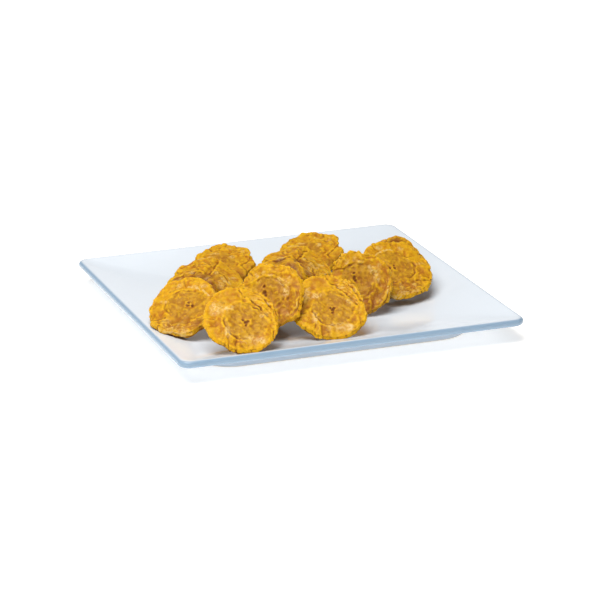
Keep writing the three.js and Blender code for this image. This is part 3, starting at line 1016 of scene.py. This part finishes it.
# ---------------------------------------------------------------- the set
# Metres, degrees and watts. A softbox has its place, what it points at, its size, power and colour.
FLOOR_REACH = 5.0
SENSOR_WIDTH = 36.0
LENS = 178.6
CAMERA_AROUND = -20.02
CAMERA_ABOVE = 18.10
CAMERA_AWAY = 2.544
CAMERA_ROLL = -0.56
CAMERA_AIM = Vector((0.0046, -0.0017, 0.0102))
CAMERA_SEES_TO = 50
OVERHEAD = ((-0.4, -0.35, 1.25), (-0.05, 0, 0), 1.0, 21.3, (1.0, 0.985, 0.96))
BACKDROP = ((0.5, 1.7, 1.3), (0.45, 1.3, 0), 1.4, 9.0, (1.0, 0.99, 0.98))
SKY_AT_HORIZON = 0.9
SKY_ABOVE = 0.12
SKY_FADES_BY = 0.4
SKY_COLOUR = (0.97, 0.98, 1.0, 1.0)


def make_floor(material):
    """A plain floor, wide enough for every view."""
    mesh = bpy.data.meshes.new("floor")
    shape = bmesh.new()
    bmesh.ops.create_grid(shape, x_segments=8, y_segments=8, size=FLOOR_REACH)
    shape.to_mesh(mesh)
    shape.free()
    mesh.materials.append(material)
    floor = bpy.data.objects.new("floor", mesh)
    bpy.context.scene.collection.objects.link(floor)


def make_camera():
    """The camera, from how far round, how high and how far away it stands."""
    around = math.radians(CAMERA_AROUND)
    above = math.radians(CAMERA_ABOVE)
    away = math.cos(above)
    back = Vector((math.sin(around) * away, -math.cos(around) * away, math.sin(above)))
    right = Vector((math.cos(around), math.sin(around), 0))
    up = back.cross(right)
    roll = math.radians(CAMERA_ROLL)
    rolled_right = right * math.cos(roll) + up * math.sin(roll)
    rolled_up = up * math.cos(roll) - right * math.sin(roll)
    data = bpy.data.cameras.new("camera")
    data.sensor_width = SENSOR_WIDTH
    data.lens = LENS
    data.clip_end = CAMERA_SEES_TO
    camera = bpy.data.objects.new("camera", data)
    turned = Matrix((rolled_right, rolled_up, back)).transposed().to_4x4()
    camera.matrix_world = Matrix.Translation(CAMERA_AIM + back * CAMERA_AWAY) @ turned
    bpy.context.scene.collection.objects.link(camera)
    bpy.context.scene.camera = camera


def make_softbox(name, place, aim, size, power, colour):
    """A square soft light."""
    data = bpy.data.lights.new(name, "AREA")
    data.shape = "SQUARE"
    data.size = size
    data.energy = power
    data.color = colour
    lamp = bpy.data.objects.new(name, data)
    lamp.location = place
    lamp.rotation_euler = (Vector(aim) - Vector(place)).to_track_quat("-Z", "Y").to_euler()
    bpy.context.scene.collection.objects.link(lamp)
    return lamp


def make_light():
    """One main light, one for the far floor that shows in no gloss, and a sky bright near the floor."""
    make_softbox("overhead_softbox", *OVERHEAD)
    backdrop = make_softbox("backdrop_softbox", *BACKDROP)
    backdrop.visible_glossy = False
    world = bpy.data.worlds.new("studio")
    world.use_nodes = True
    nodes, links = world.node_tree.nodes, world.node_tree.links
    sky = nodes["Background"]
    split = nodes.new("ShaderNodeSeparateXYZ")
    links.new(nodes.new("ShaderNodeTexCoord").outputs["Generated"], split.inputs["Vector"])
    fade = nodes.new("ShaderNodeMapRange")
    links.new(split.outputs["Z"], fade.inputs["Value"])
    fade.inputs["From Min"].default_value = 0.0
    fade.inputs["From Max"].default_value = SKY_FADES_BY
    fade.inputs["To Min"].default_value = SKY_AT_HORIZON
    fade.inputs["To Max"].default_value = SKY_ABOVE
    links.new(fade.outputs["Result"], sky.inputs["Strength"])
    sky.inputs["Color"].default_value = SKY_COLOUR
    bpy.context.scene.world = world
    bpy.context.scene.view_settings.view_transform = "Standard"


# ---------------------------------------------------------------- putting it together
mottle = mottle_group()
crust = crust_group(mottle)
plantain = fried_plantain(crust)
made = [solid_of(make_plate(porcelain(mottle)))]
slice_nodes = sorted(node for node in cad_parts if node.startswith("tostone"))
for number, node in enumerate(slice_nodes):
    heap, lie = node.split("_")[1:]
    kind = "right_side" if (heap, lie) == ("right", "side") else lie
    look = dict(SLICES[kind])
    look["bulges"] = look["bulges"] + WIDER.get(node, [])
    turned = TURNED.get(lie, 0.0) if heap == "middle" else 0.0
    piece = make_slice(node, look, turned, 20 + number * 31, plantain, made)
    made.append(solid_of(piece))
make_floor(pale_floor(mottle))
make_camera()
make_light()

bpy.context.view_layer.update()
